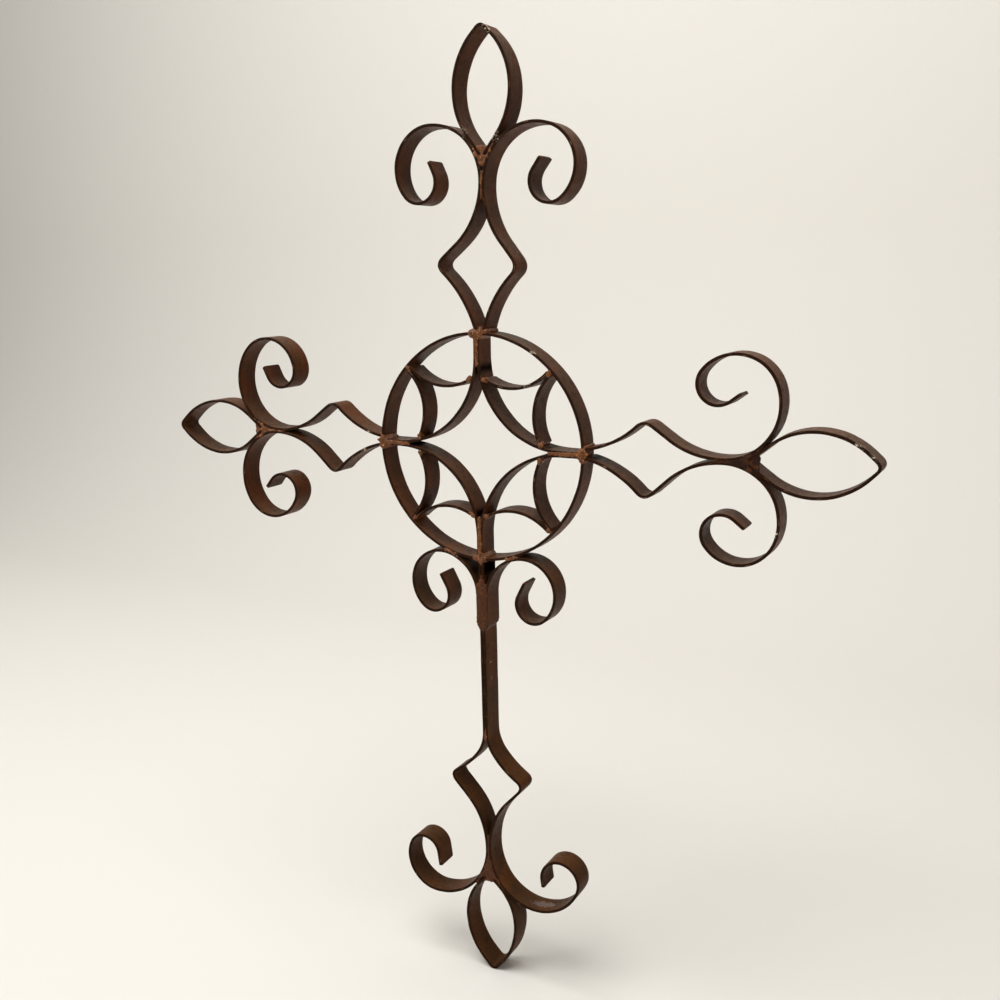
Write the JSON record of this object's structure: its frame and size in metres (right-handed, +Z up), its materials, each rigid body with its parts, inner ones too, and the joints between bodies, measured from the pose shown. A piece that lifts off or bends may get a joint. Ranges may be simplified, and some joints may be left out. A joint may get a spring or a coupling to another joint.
{
  "type": "wrought iron wall cross",
  "caption": "Openwork wall cross of bent flat iron bar: ring with a pointed star and petals inside, diamond arms, scrolls, leaf tips and a long stem, welded throughout.",
  "frame": {"origin": "back edge of the fold at the top leaf's tip, where the cross hangs", "axes": "+Z up along the cross's height, +Y into the wall, so the front faces -Y, +X to the right seen from the front; all back edges lie on Y = 0"},
  "size_m": [0.6178, 0.02, 0.7709],
  "materials": {
    "ring_iron": "satin",
    "star_iron": "satin",
    "petal_iron": "satin",
    "bar_iron": "satin",
    "leaf_iron": "satin",
    "small_scroll_iron": "satin"
  },
  "bodies": {
    "root": {"ring": "ring_iron", "star_arc_upper_right": "star_iron", "star_arc_lower_right": "star_iron", "star_arc_lower_left": "star_iron", "star_arc_upper_left": "star_iron", "petal_upper_right": "petal_iron", "petal_lower_right": "petal_iron", "petal_lower_left": "petal_iron", "petal_upper_left": "petal_iron", "top_scroll_bar_left": "bar_iron", "top_scroll_bar_right": "bar_iron", "top_leaf": "leaf_iron", "right_scroll_bar_upper": "bar_iron", "right_scroll_bar_lower": "bar_iron", "right_leaf": "leaf_iron", "bottom_scroll_bar_right": "bar_iron", "bottom_scroll_bar_left": "bar_iron", "bottom_leaf": "leaf_iron", "left_scroll_bar_lower": "bar_iron", "left_scroll_bar_upper": "bar_iron", "left_leaf": "leaf_iron", "small_scroll_right": "small_scroll_iron", "small_scroll_left": "small_scroll_iron"}
  },
  "joints": []
}
